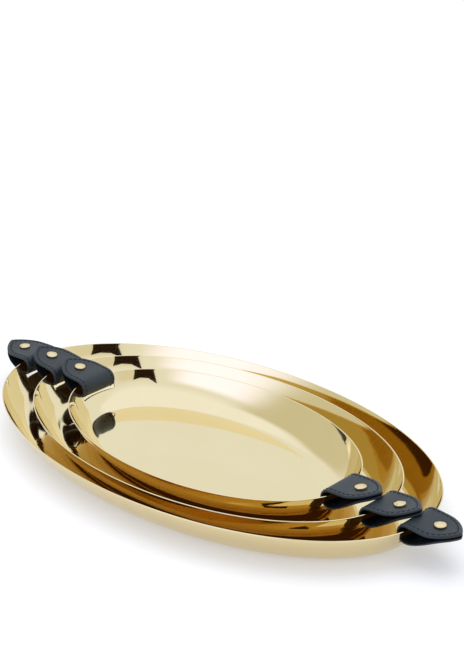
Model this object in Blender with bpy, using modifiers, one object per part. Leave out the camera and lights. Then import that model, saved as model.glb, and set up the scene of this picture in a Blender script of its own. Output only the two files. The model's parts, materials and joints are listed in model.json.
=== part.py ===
"""Nest of three oval sheet-brass trays with folded leather loop handles.

Metres, +Z up. X runs along the trays, the origin is under the middle of the large tray.
Each handle is a leather strap of two plies that passes through a slot below the rim,
folds round the strip of rim above it, and is closed by a two-part rivet.
"""
import math

import bmesh
import bpy
from mathutils import Vector

MM = 0.001

# Trays: plan, height and sheet
LARGE_LENGTH = 420.0 * MM
LARGE_WIDTH = 244.0 * MM
LARGE_HEIGHT = 27.6 * MM
MEDIUM_END_STEP = 34.5 * MM
MEDIUM_SIDE_STEP = 16.5 * MM
SMALL_END_STEP = 36.0 * MM
SMALL_SIDE_STEP = 21.0 * MM
MEDIUM_RIM_RISE = 0.3 * MM
SMALL_RIM_RISE = 0.7 * MM
SHEET = 1.0 * MM
LARGE_RIM_SLOPE = math.radians(69.3)
INNER_RIM_SLOPE = math.radians(68.0)
WALL_RADIUS = 65.0 * MM
FLOOR_RADIUS = 20.0 * MM
NEST_GAP = 0.3 * MM

# Slot and the strip of rim above it
STRIP_HEIGHT = 5.5 * MM
SLOT_CLEARANCE = 0.5 * MM
SLOT_CORNER = 1.2 * MM

# Leather strap
STRAP_WIDTH = 35.5 * MM
HANDLE_REACH = 36.1 * MM
TAPER_LENGTH = 23.5 * MM
TAPER_POWER = 0.9
TIP_WIDTH = 3.0 * MM
PLY = 1.15 * MM
PLY_GAP = 0.3 * MM
LEAF_GAP = 0.3 * MM
FOLD_DROP = 0.9 * MM
FOLD_CLEARANCE = 0.45 * MM
TURN_ROOM = math.radians(70.0)
LEAF_DIP = 0.9 * MM
TIP_RISE = 1.6 * MM
EDGE_CLOSE = 29.0 * MM
TIP_CLEARANCE = 0.45 * MM

# Rivet
RIVET_REACH = 17.5 * MM
CLOSE_LEAD = 2.3 * MM
CAP_DIAMETER = 9.0 * MM
CAP_EDGE = 1.2 * MM
CAP_DOME = 0.9 * MM
BACK_DIAMETER = 8.0 * MM
BACK_EDGE = 0.8 * MM
BACK_DOME = 0.3 * MM
PIN_DIAMETER = 2.2 * MM
TUBE_WALL = 0.6 * MM
RIVET_GAP = 0.3 * MM

# Mesh steps
RING_STEPS = 64
WALL_STEPS = 4
FLOOR_STEPS = 4
UPPER_STEPS = 7
FOLD_STEPS = 10
LOWER_STEPS = 10
ACROSS_STEPS = 4
RIVET_STEPS = 14

# Sizes that follow from the ones above
STRAP_HALF = STRAP_WIDTH / 2.0
STRAP_THICK = 2.0 * PLY + PLY_GAP
CAP_RADIUS = CAP_DIAMETER / 2.0
BACK_RADIUS = BACK_DIAMETER / 2.0
PIN_RADIUS = PIN_DIAMETER / 2.0
BORE_RADIUS = PIN_RADIUS + RIVET_GAP
TUBE_RADIUS = BORE_RADIUS + TUBE_WALL
HOLE_RADIUS = TUBE_RADIUS + RIVET_GAP


class Tray:
    """Plan, heights and handle pivot of one tray of the nest."""

    def __init__(self, name, half_length, half_width, base, rim, rim_slope):
        self.name = name
        self.a = half_length
        self.b = half_width
        self.base = base
        self.rim = rim
        self.height = rim - base
        self.rim_in = WALL_RADIUS * math.sin(rim_slope)
        self.rim_up = WALL_RADIUS * math.cos(rim_slope)
        self.foot = math.acos((self.height + self.rim_up - FLOOR_RADIUS)
                              / (WALL_RADIUS - FLOOR_RADIUS))
        self.sag = half_length * (1.0 - math.sqrt(1.0 - (STRAP_HALF / half_width) ** 2))
        self.deep = self.sag + self.inset(STRIP_HEIGHT, SHEET)
        self.pivot_x = half_length - self.deep / 2.0
        self.pivot_z = rim - STRIP_HEIGHT / 2.0

    def wall_point(self, slope, skin):
        """Inset and depth of the wall where it has a slope; skin is the distance inside it."""
        held = max(slope, self.foot)
        large = WALL_RADIUS - FLOOR_RADIUS
        small = FLOOR_RADIUS - skin
        inset = self.rim_in - large * math.sin(held) - small * math.sin(slope)
        depth = large * math.cos(held) + small * math.cos(slope) - self.rim_up
        return inset, depth

    def slope_at(self, depth, skin):
        """Slope of the wall's large arc at a depth below the rim."""
        return math.acos((depth + self.rim_up) / (WALL_RADIUS - skin))

    def inset(self, depth, skin=0.0):
        """How far the wall has drawn in at a depth below the rim, above its foot."""
        return self.wall_point(self.slope_at(depth, skin), skin)[0]

    def strip_corners(self):
        """Corners of the rim strip's section, from the pivot, over the strap's width."""
        half = STRIP_HEIGHT / 2.0
        out = self.a - self.pivot_x
        top = out - self.sag - self.inset(0.0, SHEET)
        low = out - self.inset(STRIP_HEIGHT)
        return ((out, half), (top, half), (low, -half), (out - self.deep, -half))


def make_trays():
    """The three trays from the large one inwards, each resting on the floor of the last."""
    lift = SHEET + NEST_GAP
    a = LARGE_LENGTH / 2.0
    b = LARGE_WIDTH / 2.0
    rim = LARGE_HEIGHT
    large = Tray("large", a, b, 0.0, rim, LARGE_RIM_SLOPE)
    a = a - MEDIUM_END_STEP
    b = b - MEDIUM_SIDE_STEP
    rim = rim + MEDIUM_RIM_RISE
    medium = Tray("medium", a, b, lift, rim, INNER_RIM_SLOPE)
    a = a - SMALL_END_STEP
    b = b - SMALL_SIDE_STEP
    rim = rim + SMALL_RIM_RISE
    small = Tray("small", a, b, 2.0 * lift, rim, INNER_RIM_SLOPE)
    return (large, medium, small)


TRAYS = make_trays()


def fold_radius():
    """Inside radius of the fold that lets the rim strip turn in it without touching."""
    need = 0.0
    for tray in TRAYS:
        for p, q in tray.strip_corners():
            for k in range(29):
                turn = TURN_ROOM * k / 28.0
                pt = p * math.cos(turn) + q * math.sin(turn)
                qt = q * math.cos(turn) - p * math.sin(turn)
                need = max(need, math.hypot(min(pt, 0.0), qt + FOLD_DROP))
    return need + FOLD_CLEARANCE


FOLD_INSIDE = fold_radius()
FOLD_MID = FOLD_INSIDE + STRAP_THICK / 2.0
FOLD_OUTSIDE = FOLD_INSIDE + STRAP_THICK
LEAF_STEP = STRAP_THICK + LEAF_GAP
CLOSE_P = RIVET_REACH - CLOSE_LEAD


def ease(t):
    """Smooth step from 0 to 1."""
    t = min(max(t, 0.0), 1.0)
    return t * t * (3.0 - 2.0 * t)


def upper_mid(p):
    """Height of the upper leaf's middle: a slight dip at the rivet, then up to the tip."""
    far = max(p - RIVET_REACH, 0.0) / (HANDLE_REACH - RIVET_REACH)
    return FOLD_MID - FOLD_DROP - LEAF_DIP * ease(p / RIVET_REACH) + TIP_RISE * far * far


def half_width(p):
    """Half width of the leaf: full up to the taper, then an ogive down to the tip."""
    x = min(max((p - HANDLE_REACH) / TAPER_LENGTH + 1.0, 0.0), 1.0)
    tip = TIP_WIDTH / 2.0
    return tip + (STRAP_HALF - tip) * (1.0 - x * x) ** TAPER_POWER


def lower_mid(p, close):
    """Height of the lower leaf's middle: open at the fold, shut against the upper leaf at close."""
    return upper_mid(p) - LEAF_STEP - (2.0 * FOLD_MID - LEAF_STEP) * (1.0 - ease(p / close))


def leaf_stations(steps):
    """Distances from the pivot along a leaf, closer together towards the tip."""
    return [HANDLE_REACH * math.sin(0.5 * math.pi * k / steps) for k in range(steps + 1)]


def strap_path():
    """Middle line of the strap from tip to tip as p, q, and how far its edges hang lower."""
    path = []
    for p in reversed(leaf_stations(UPPER_STEPS)):
        path.append((p, upper_mid(p), 0.0))
    for k in range(1, FOLD_STEPS):
        turn = math.pi * (0.5 + k / FOLD_STEPS)
        path.append((FOLD_MID * math.cos(turn), FOLD_MID * math.sin(turn) - FOLD_DROP, 0.0))
    for p in leaf_stations(LOWER_STEPS):
        middle = lower_mid(p, CLOSE_P)
        path.append((p, middle, middle - lower_mid(p, EDGE_CLOSE)))
    return path


PATH = strap_path()


def offset_line(path, distance):
    """The path moved sideways by a distance, positive away from the hollow."""
    line = []
    last = len(path) - 1
    for i in range(last + 1):
        before = path[max(i - 1, 0)]
        after = path[min(i + 1, last)]
        run = Vector((after[0] - before[0], after[1] - before[1])).normalized()
        line.append((path[i][0] + distance * run.y, path[i][1] - distance * run.x))
    return line


OUTSIDE = offset_line(PATH, STRAP_THICK / 2.0)
UNDERSIDE = OUTSIDE[UPPER_STEPS + FOLD_STEPS:]


def turned(line, tray, tilt):
    """A line of the handle's section in world x and z at the +X end of a tray."""
    c = math.cos(tilt)
    s = math.sin(tilt)
    return [(tray.pivot_x + c * p - s * q, tray.pivot_z + s * p + c * q) for p, q in line]


def dense(line):
    """A line with points added between its corners."""
    points = []
    for start, end in zip(line, line[1:]):
        for k in range(6):
            t = k / 6.0
            points.append((start[0] + t * (end[0] - start[0]), start[1] + t * (end[1] - start[1])))
    points.append(line[-1])
    return points


def rest_tilt(tray, below, below_tilt):
    """Least tilt at which a handle lies clear on top of the handle of the tray below."""
    fold_and_leaf = dense(turned(OUTSIDE[: UPPER_STEPS + FOLD_STEPS], below, below_tilt))
    tilt = 0.0
    while tilt < math.radians(60.0):
        clear = True
        for x, z in dense(turned(UNDERSIDE, tray, tilt)):
            for bx, bz in fold_and_leaf:
                if math.hypot(x - bx, z - bz) < TIP_CLEARANCE:
                    clear = False
                if abs(x - bx) < 0.5 * MM and z < bz and bx > below.pivot_x - FOLD_OUTSIDE:
                    clear = False
        if clear:
            return tilt
        tilt = tilt + math.radians(0.1)
    return tilt


def leaf_seat(line, radius, sign):
    """Highest (+1) or lowest (-1) height of a leaf's outside under a rivet head."""
    heights = []
    for p, q in dense(line):
        if abs(p - RIVET_REACH) <= radius:
            edge = lower_mid(p, CLOSE_P) - lower_mid(p, EDGE_CLOSE)
            heights.append(q if sign > 0 else q - edge * (radius / half_width(p)) ** 2)
    return max(heights) if sign > 0 else min(heights)


def material(name, color, metallic, roughness):
    """A plain Principled material."""
    mat = bpy.data.materials.new(name)
    mat.use_nodes = True
    shader = mat.node_tree.nodes["Principled BSDF"]
    shader.inputs["Base Color"].default_value = (color[0], color[1], color[2], 1.0)
    shader.inputs["Metallic"].default_value = metallic
    shader.inputs["Roughness"].default_value = roughness
    mat.diffuse_color = (color[0], color[1], color[2], 1.0)
    return mat


def add(name, mesh, collection, mat=None, parent=None):
    """An object in a collection, with its material and the pivot that it hangs on."""
    obj = bpy.data.objects.new(name, mesh)
    collection.objects.link(obj)
    if mat is not None:
        mesh.materials.append(mat)
    if parent is not None:
        obj.parent = parent
    return obj


def cutter(obj):
    """Keep a cutting body out of the picture."""
    obj.hide_render = True
    obj.display_type = "WIRE"
    return obj


def cut(obj, tool):
    """Subtract a cutting body from an object."""
    mod = obj.modifiers.new("cut_" + tool.name, "BOOLEAN")
    mod.operation = "DIFFERENCE"
    mod.solver = "EXACT"
    mod.object = tool


def dish_section(tray):
    """Section of the sheet as insets and heights: outside up, over the rim, inside down."""
    round_off = SHEET * 0.25
    section = []
    for skin in (0.0, SHEET):
        top = tray.slope_at(0.0, skin)
        slopes = [tray.foot * k / FLOOR_STEPS for k in range(FLOOR_STEPS)]
        slopes += [tray.foot + (top - tray.foot) * k / WALL_STEPS for k in range(WALL_STEPS + 1)]
        rows = []
        for slope in slopes:
            inset, depth = tray.wall_point(slope, skin)
            rows.append((inset, tray.rim - max(depth, round_off)))
        edge = rows[-1][0]
        if skin == 0.0:
            section = rows + [(edge + round_off, tray.rim)]
        else:
            section += [(edge - round_off, tray.rim)] + rows[::-1]
    return section


def dish_mesh(tray):
    """The pressed sheet: a grid whose rows are ovals set in from the outline, floors filled."""
    section = dish_section(tray)
    rows = len(section) - 1
    bm = bmesh.new()
    bmesh.ops.create_grid(bm, x_segments=RING_STEPS, y_segments=rows, size=1.0)
    for vert in bm.verts:
        turn = math.pi * round((vert.co.x + 1.0) * RING_STEPS / 2.0) * 2.0 / RING_STEPS
        inset, z = section[int(round((vert.co.y + 1.0) * rows / 2.0))]
        c = math.cos(turn)
        s = math.sin(turn)
        size = math.hypot(tray.b * c, tray.a * s)
        x = tray.a * c - inset * tray.b * c / size
        y = tray.b * s - inset * tray.a * s / size
        vert.co = Vector((x, y, z))
    bmesh.ops.remove_doubles(bm, verts=bm.verts, dist=0.01 * MM)
    open_edges = [edge for edge in bm.edges if edge.is_boundary]
    bmesh.ops.holes_fill(bm, edges=open_edges, sides=0)
    bmesh.ops.recalc_face_normals(bm, faces=bm.faces)
    if bm.calc_volume(signed=True) < 0.0:
        bmesh.ops.reverse_faces(bm, faces=bm.faces)
    mesh = bpy.data.meshes.new(tray.name + "_tray_dish")
    bm.to_mesh(mesh)
    bm.free()
    return mesh


def slot_mesh(tray, name):
    """The body that cuts the slot at the +X end; the -X one is the same, turned round."""
    deep = tray.rim - tray.pivot_z + FOLD_DROP + FOLD_OUTSIDE + SLOT_CLEARANCE
    high = deep - STRIP_HEIGHT
    inner = tray.a - tray.sag - tray.inset(deep, SHEET) - 4.0 * MM
    outer = tray.a + 4.0 * MM
    bm = bmesh.new()
    bmesh.ops.create_cube(bm, size=1.0)
    for vert in bm.verts:
        x = 0.5 * (inner + outer) + vert.co.x * (outer - inner)
        y = vert.co.y * 2.0 * (STRAP_HALF + SLOT_CORNER)
        z = tray.rim - deep + (vert.co.z + 0.5) * high
        vert.co = Vector((x, y, z))
    mesh = bpy.data.meshes.new(name)
    bm.to_mesh(mesh)
    bm.free()
    return mesh


def ply_mesh(name, offset):
    """A flat blank bent along the strap's path, at a distance from the strap's middle."""
    line = offset_line(PATH, offset)
    rows = len(line) - 1
    bm = bmesh.new()
    bmesh.ops.create_grid(bm, x_segments=rows, y_segments=ACROSS_STEPS, size=1.0)
    for vert in bm.verts:
        i = int(round((vert.co.x + 1.0) * 0.5 * rows))
        v = vert.co.y
        p, q = line[i]
        vert.co = Vector((p, v * half_width(PATH[i][0]), q - PATH[i][2] * v * v))
    mesh = bpy.data.meshes.new(name)
    bm.to_mesh(mesh)
    bm.free()
    return mesh


def turned_part(name, profile, collection, mat, parent):
    """A turned piece: a section swept round the rivet's axis."""
    mesh = bpy.data.meshes.new(name)
    edges = [(i, i + 1) for i in range(len(profile) - 1)]
    mesh.from_pydata([(r, 0.0, z) for r, z in profile], edges, [])
    obj = add(name, mesh, collection, mat, parent)
    obj.location = (RIVET_REACH, 0.0, 0.0)
    mod = obj.modifiers.new("turn", "SCREW")
    mod.axis = "Z"
    mod.angle = 2.0 * math.pi
    mod.steps = RIVET_STEPS
    mod.render_steps = RIVET_STEPS
    mod.use_merge_vertices = True
    mod.merge_threshold = 0.00001
    return obj


def dome(radius, foot, rise):
    """Points of a shallow dome from its crown on the axis down to its edge."""
    points = []
    for k in range(4):
        r = radius * k / 3.0
        points.append((r, foot + rise * (1.0 - (r / radius) ** 2)))
    return points


def cap_profile(top_seat, tube_end):
    """Section of the rivet cap: domed head, then the tube with its blind bore."""
    section = dome(CAP_RADIUS, top_seat + CAP_EDGE, CAP_DOME)
    section.append((CAP_RADIUS, top_seat))
    section.append((TUBE_RADIUS, top_seat))
    section.append((TUBE_RADIUS, tube_end))
    section.append((BORE_RADIUS, tube_end))
    section.append((BORE_RADIUS, top_seat))
    section.append((0.0, top_seat))
    return section


def post_profile(pin_top, low_seat):
    """Section of the rivet post: the pin, then the back plate."""
    section = [(0.0, pin_top), (PIN_RADIUS, pin_top), (PIN_RADIUS, low_seat), (BACK_RADIUS, low_seat)]
    back = dome(BACK_RADIUS, -(low_seat - BACK_EDGE), BACK_DOME)
    for r, z in reversed(back):
        section.append((r, -z))
    return section


def make_handle(tray, side, tilt, parts, cutters, leather, lining, brass):
    """One handle: two plies of leather and the two halves of the rivet, on their pivot."""
    name = tray.name + "_" + side
    pivot = bpy.data.objects.new(name + "_pivot", None)
    parts.objects.link(pivot)
    sign = 1.0 if side == "right" else -1.0
    pivot.location = (sign * tray.pivot_x, 0.0, tray.pivot_z)
    pivot.rotation_euler = (0.0, -tilt, 0.0 if side == "right" else math.pi)

    top_seat = leaf_seat(OUTSIDE[: UPPER_STEPS + 1], CAP_RADIUS, 1) + RIVET_GAP
    low_seat = leaf_seat(UNDERSIDE, BACK_RADIUS, -1) - RIVET_GAP
    tool_mesh = bpy.data.meshes.new(name + "_hole_cutter")
    bm = bmesh.new()
    bmesh.ops.create_cone(
        bm, cap_ends=True, segments=RIVET_STEPS, radius1=HOLE_RADIUS, radius2=HOLE_RADIUS,
        depth=4.0 * FOLD_OUTSIDE)
    bm.to_mesh(tool_mesh)
    bm.free()
    tool = cutter(add(name + "_hole_cutter", tool_mesh, cutters, None, pivot))
    tool.location = (RIVET_REACH, 0.0, 0.0)

    shift = 0.5 * (PLY_GAP + PLY)
    for piece, offset, mat in (("strap", shift, leather), ("lining", -shift, lining)):
        ply_name = name + "_leather_" + piece
        ply = add(ply_name, ply_mesh(ply_name, offset), parts, mat, pivot)
        solid = ply.modifiers.new("thickness", "SOLIDIFY")
        solid.thickness = PLY
        solid.offset = 0.0
        solid.use_even_offset = True
        cut(ply, tool)

    cap = cap_profile(top_seat, low_seat + RIVET_GAP)
    turned_part(name + "_rivet_cap", cap, parts, brass, pivot)
    post = post_profile(top_seat - RIVET_GAP, low_seat)
    turned_part(name + "_rivet_post", post, parts, brass, pivot)
    return pivot


def make_tray(tray, tilt, parts, cutters, mats):
    """One tray: the slotted dish and its two handles."""
    sheet, leather, lining, brass = mats
    dish = add(tray.name + "_tray_dish", dish_mesh(tray), parts, sheet)
    for side, turn in (("right", 0.0), ("left", math.pi)):
        tool_name = tray.name + "_" + side + "_slot_cutter"
        tool = cutter(add(tool_name, slot_mesh(tray, tool_name), cutters))
        tool.rotation_euler = (0.0, 0.0, turn)
        bevel = tool.modifiers.new("corners", "BEVEL")
        bevel.width = SLOT_CORNER
        bevel.segments = 2
        cut(dish, tool)
        make_handle(tray, side, tilt, parts, cutters, leather, lining, brass)


def main():
    """Clear the file and build the nest from the large tray inwards."""
    for obj in list(bpy.data.objects):
        bpy.data.objects.remove(obj, do_unlink=True)
    parts = bpy.data.collections.new("brass_tray_nest")
    bpy.context.scene.collection.children.link(parts)
    cutters = bpy.data.collections.new("brass_tray_nest_cutters")
    bpy.context.scene.collection.children.link(cutters)
    sheet = material("brass_sheet", (0.83, 0.66, 0.36), 1.0, 0.08)
    leather = material("navy_leather", (0.045, 0.06, 0.085), 0.0, 0.5)
    lining = material("navy_lining", (0.03, 0.04, 0.06), 0.0, 0.6)
    brass = material("rivet_brass", (0.85, 0.70, 0.42), 1.0, 0.15)
    below = None
    tilt = 0.0
    for tray in TRAYS:
        if below is not None:
            tilt = rest_tilt(tray, below, tilt)
        below = tray
        make_tray(tray, tilt, parts, cutters, (sheet, leather, lining, brass))
        print(tray.name, "rim", round(tray.rim, 5), "pivot", round(tray.pivot_x, 6),
              round(tray.pivot_z, 6), "tilt", round(math.degrees(tilt), 2))
    print("fold inside", round(FOLD_INSIDE, 6), "outside", round(FOLD_OUTSIDE, 6))


main()
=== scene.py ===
# %% [markdown]
# # A nest of three oval brass trays with leather loop handles
# Three shallow oval trays of polished brass sheet sit one inside the other. Each end of
# each tray has a loop of navy leather that goes through a slot under the rim, folds back
# on itself and is closed by one brass rivet. The packed model gives us the bodies, their
# places and their joints. In this lesson we keep that frame and put finer surfaces in the
# place of its solids: smooth dishes, straps with a turned edge, a lining, a stitched seam
# and domed rivets.

# %% Load the packed model
import json
import math

import bmesh
import bpy
import numpy as np
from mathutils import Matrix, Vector


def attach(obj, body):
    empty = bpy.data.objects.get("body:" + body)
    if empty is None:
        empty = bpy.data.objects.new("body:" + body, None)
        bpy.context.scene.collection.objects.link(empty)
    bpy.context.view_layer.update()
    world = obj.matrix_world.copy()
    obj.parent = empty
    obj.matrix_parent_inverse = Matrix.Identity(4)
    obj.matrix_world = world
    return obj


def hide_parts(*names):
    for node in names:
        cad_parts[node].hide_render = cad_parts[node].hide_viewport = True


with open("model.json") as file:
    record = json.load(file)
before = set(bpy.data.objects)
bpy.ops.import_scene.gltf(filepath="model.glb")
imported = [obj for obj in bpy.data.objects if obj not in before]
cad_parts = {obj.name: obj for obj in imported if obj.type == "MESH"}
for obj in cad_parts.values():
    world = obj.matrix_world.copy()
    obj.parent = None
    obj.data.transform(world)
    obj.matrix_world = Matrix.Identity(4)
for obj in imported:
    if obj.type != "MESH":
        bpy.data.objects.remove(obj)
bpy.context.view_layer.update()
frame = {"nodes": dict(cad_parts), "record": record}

print("nodes in the frame:", len(frame["nodes"]))

# %% [markdown]
# ## Sizes
# All three trays share one wall shape: a large arc that leans out at the rim and a small
# arc that runs into the flat floor. So a tray needs only its rim (two half lengths), the
# height of its floor, the height of its rim and the slope of its wall there, which is a
# little steeper on the large one. The handles are all cut from one pattern.
# A loop's pivot is the strip of brass above the slot, and its tilt says how far it is
# propped up by the loop below.

# %% Sizes of the trays and of the handles, in metres
MM = 0.001
SHEET = 1.0 * MM                 # thickness of the brass
WALL_RADIUS = 65.0 * MM          # large arc of the wall
FLOOR_RADIUS = 20.0 * MM         # small arc where the wall runs into the floor
STRIP_HEIGHT = 5.5 * MM          # brass left between slot and rim
SLOT_DEPTH = 12.08 * MM          # lower edge of the slot below the rim
SLOT_HALF = 18.95 * MM           # half the length of the slot

TRAYS = {                        # half length, half width, underside, rim
    "large": (210.0 * MM, 122.0 * MM, 0.0 * MM, 27.6 * MM),
    "medium": (175.5 * MM, 105.5 * MM, 1.3 * MM, 27.9 * MM),
    "small": (139.5 * MM, 84.5 * MM, 2.6 * MM, 28.6 * MM),
}
RIM_SLOPE = {"large": 69.3, "medium": 68.0, "small": 68.0}   # degrees, at the rim
TILT = {"large": 0.0, "medium": 9.0, "small": 7.4}           # degrees, of the loops

STRAP_HALF = 17.75 * MM          # half the width of a loop
REACH = 36.1 * MM                # pivot to tip
TAPER = 23.5 * MM                # length of the pointed end
TAPER_POWER = 0.8                # of the pointed arch: smaller is blunter
THICK = 2.6 * MM                 # both plies with the glue between them
PLY = 1.15 * MM                  # one ply
FOLD_MID = 6.634 * MM            # radius of the fold, mid thickness
FOLD_DROP = 0.9 * MM             # middle of the fold below the pivot
LEAF_DIP = 0.9 * MM              # how far the upper leaf sinks from the fold to the rivet
TIP_RISE = 1.6 * MM              # and how far its tip comes up again
LEAF_STEP = 2.9 * MM             # upper leaf to lower leaf where they meet
CLOSE_MID = 15.2 * MM            # where the lower leaf meets the upper one, middle
CLOSE_EDGE = 29.0 * MM           # and along its edges
RIVET_REACH = 17.5 * MM          # pivot to rivet
CAP_RADIUS = 4.5 * MM            # head on top
BACK_RADIUS = 4.0 * MM           # plate below

HANDLES = []
for joint in frame["record"]["behaviour"]["joints"]:
    if joint["name"].endswith("_handle_swing"):
        tray, side = joint["name"].split("_")[:2]
        HANDLES.append((tray, side, abs(joint["pos_m"][0]), joint["pos_m"][2]))
for tray, side, out, up in HANDLES:
    print(f"{tray} {side} handle: pivot {1000 * out:.1f} mm out, {1000 * up:.1f} mm up")

# %% [markdown]
# ## Turning arrays into pieces
# Every new surface is computed as whole numpy arrays and then handed to Blender in one go.
# `grid_quads` makes the faces of a grid of points, with either direction closed on itself,
# and `make_piece` builds the mesh, joins points that share a place, turns the faces
# outward, hangs the piece on an empty for the body it rides on and hides the nodes it
# stands for.

# %% Mesh helpers
def grid_quads(rows, cols, wrap_rows=False, wrap_cols=False, keep=None):
    """Faces of a rows x cols grid of points counted row by row.

    A closed direction joins its last line of points to its first. keep is an array of
    true and false, one for each face, that leaves faces out.
    """
    r = np.arange(rows if wrap_rows else rows - 1)
    c = np.arange(cols if wrap_cols else cols - 1)
    r, c = np.meshgrid(r, c, indexing="ij")
    r1, c1 = (r + 1) % rows, (c + 1) % cols
    quads = np.stack([r * cols + c, r * cols + c1, r1 * cols + c1, r1 * cols + c], axis=-1)
    return quads[keep] if keep is not None else quads.reshape(-1, 4)


def make_piece(name, points, faces, body, nodes=(), marks=None):
    """One closed piece from points (n, 3) and faces, riding a body in place of its nodes.

    marks is a dict of names to arrays, one value for each point, kept as attributes.
    """
    mesh = bpy.data.meshes.new(name)
    mesh.from_pydata(points.tolist(), [], faces.tolist())
    for mark, values in (marks or {}).items():
        mesh.attributes.new(mark, "FLOAT", "POINT").data.foreach_set("value", values.ravel())
    shape = bmesh.new()
    shape.from_mesh(mesh)
    bmesh.ops.remove_doubles(shape, verts=shape.verts, dist=1e-6)
    bmesh.ops.dissolve_degenerate(shape, edges=shape.edges, dist=1e-7)
    bmesh.ops.recalc_face_normals(shape, faces=shape.faces)
    if shape.calc_volume(signed=True) < 0:
        bmesh.ops.reverse_faces(shape, faces=shape.faces)
    open_edges = sum(1 for edge in shape.edges if not edge.is_manifold)
    shape.to_mesh(mesh)
    shape.free()
    mesh.shade_smooth()
    piece = bpy.data.objects.new(name, mesh)
    bpy.context.scene.collection.objects.link(piece)
    if nodes:
        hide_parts(*nodes)
    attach(piece, body)
    print(f"{name}: {len(mesh.polygons)} faces, open edges {open_edges}")
    return piece


def ease(x):
    """0 below 0, 1 above 1, and 3x^2 - 2x^3 in between."""
    x = np.clip(x, 0.0, 1.0)
    return x * x * (3.0 - 2.0 * x)


print("faces in a closed band of 2 x 12 points:", len(grid_quads(2, 12, wrap_cols=True)))

# %% [markdown]
# ## The section of a dish
# A real tray is one oval blank of sheet, pressed over a form, with the slots punched
# through and the edge ground round. We walk up the wall by its slope, from flat at the
# floor to steep at the rim: the small arc first, then the large one, which meets it
# without a kink. The inside is the same pair of arcs one sheet thickness in. We measure
# inset square to the rim, along the ellipse's own normal, so the sheet keeps its thickness
# at the pointed ends too. The slots need a row of points exactly on their upper and lower
# edge and a column exactly on each end, so both walks stop there.

# %% Dish section
ROWS = (10, 16, 6, 14)           # small arc, up to the slot, along it, up to the rim
SLOT_COLS, OPEN_COLS = 10, 110   # in half a slot, and on to the middle of the side
SLOT_INSET = 2.5 * MM            # of the wall where the slot's length is measured


def oval(half_x, half_y, inset, turn):
    """Points of an ellipse moved inwards by inset along its normal, as x and y arrays."""
    c, s = np.cos(turn), np.sin(turn)
    size = np.hypot(half_y * c, half_x * s)
    return half_x * c - inset * half_y * c / size, half_y * s - inset * half_x * s / size


def wall_rows(height, rim_slope, thick):
    """Inset and depth of one skin from its floor edge up to the rim.

    The slope goes from 0 on the floor by the foot, where the two arcs meet, to rim_slope.
    Along an arc the inset goes by its radius times the slope's sine, and the depth by the
    cosine. The rows stop exactly on the two edges of the slot. thick is 0 for the outside.
    """
    rim_in, rim_up = WALL_RADIUS * math.sin(rim_slope), WALL_RADIUS * math.cos(rim_slope)
    foot = math.acos((height + rim_up - FLOOR_RADIUS) / (WALL_RADIUS - FLOOR_RADIUS))
    low, high, top = (math.acos((depth + rim_up) / (WALL_RADIUS - thick))
                      for depth in (SLOT_DEPTH, STRIP_HEIGHT, 0.0))
    slope = np.concatenate([
        np.linspace(0.0, foot, ROWS[0], endpoint=False),
        np.linspace(foot, low, ROWS[1], endpoint=False),
        np.linspace(low, high, ROWS[2], endpoint=False),
        np.linspace(high, top, ROWS[3])])
    big, small = WALL_RADIUS - FLOOR_RADIUS, FLOOR_RADIUS - thick
    held = np.maximum(slope, foot)
    inset = rim_in - big * np.sin(held) - small * np.sin(slope)
    depth = big * np.cos(held) + small * np.cos(slope) - rim_up
    return inset, depth


def turns(half_x, half_y):
    """Angles round the rim with a column on each end of the two slots."""
    fine = np.linspace(0.0, 0.6, 2000)           # radians, well past the end of a slot
    end = np.interp(SLOT_HALF, oval(half_x, half_y, SLOT_INSET, fine)[1], fine)
    quarter = np.concatenate([np.linspace(0.0, end, SLOT_COLS, endpoint=False),
                              np.linspace(end, math.pi / 2, OPEN_COLS + 1)])
    half = np.concatenate([quarter, math.pi - quarter[-2::-1]])
    return np.concatenate([half, half[1:-1] + math.pi])


print("points round a rim:", len(turns(*TRAYS["large"][:2])))

# %% [markdown]
# ## The slots
# A punch cuts the real slot in one stroke. A boolean cut would do it here too, but it
# leaves long thin faces on a curved sheet, and polished brass shows them as creases. So we
# leave the slot out of both skins as a block of faces, and join the two skins by a ring of
# faces round the hole.

# %% Slots in the grid of a dish
BELOW_SLOT, SLOT_ROWS = ROWS[0] + ROWS[1], ROWS[2]


def slot_gap(rows, cols, first, last):
    """True for each face of the grid that lies in a slot.

    first is the outer skin's row on the lower edge of the slots, and last the inner skin's.
    """
    row, column = np.arange(rows - 1), np.arange(cols)
    band = (row >= first) & (row < first + SLOT_ROWS)
    band |= (row >= last - SLOT_ROWS) & (row < last)
    gap = (column < SLOT_COLS) | (column >= cols - SLOT_COLS)
    gap |= np.abs(column + 0.5 - cols / 2) < SLOT_COLS
    return band[:, None] & gap[None, :]


def slot_walls(cols, first, last):
    """Faces from the outer skin's hole to the inner skin's, round both slots."""
    up = np.arange(SLOT_ROWS + 1)
    walls = []
    for middle in (0, cols // 2):
        along = np.arange(middle - SLOT_COLS, middle + SLOT_COLS + 1) % cols
        loop = np.concatenate([
            np.stack([np.zeros_like(along), along], 1)[:-1],
            np.stack([up, np.full_like(up, along[-1])], 1)[:-1],
            np.stack([np.full_like(along, SLOT_ROWS), along[::-1]], 1)[:-1],
            np.stack([up[::-1], np.full_like(up, along[0])], 1)[:-1]])
        outer = (first + loop[:, 0]) * cols + loop[:, 1]
        inner = (last - loop[:, 0]) * cols + loop[:, 1]
        walls.append(np.stack([outer, np.roll(outer, -1), np.roll(inner, -1), inner], 1))
    return np.concatenate(walls)


print("faces left out of one skin for one slot:", 2 * SLOT_COLS * SLOT_ROWS)
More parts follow.
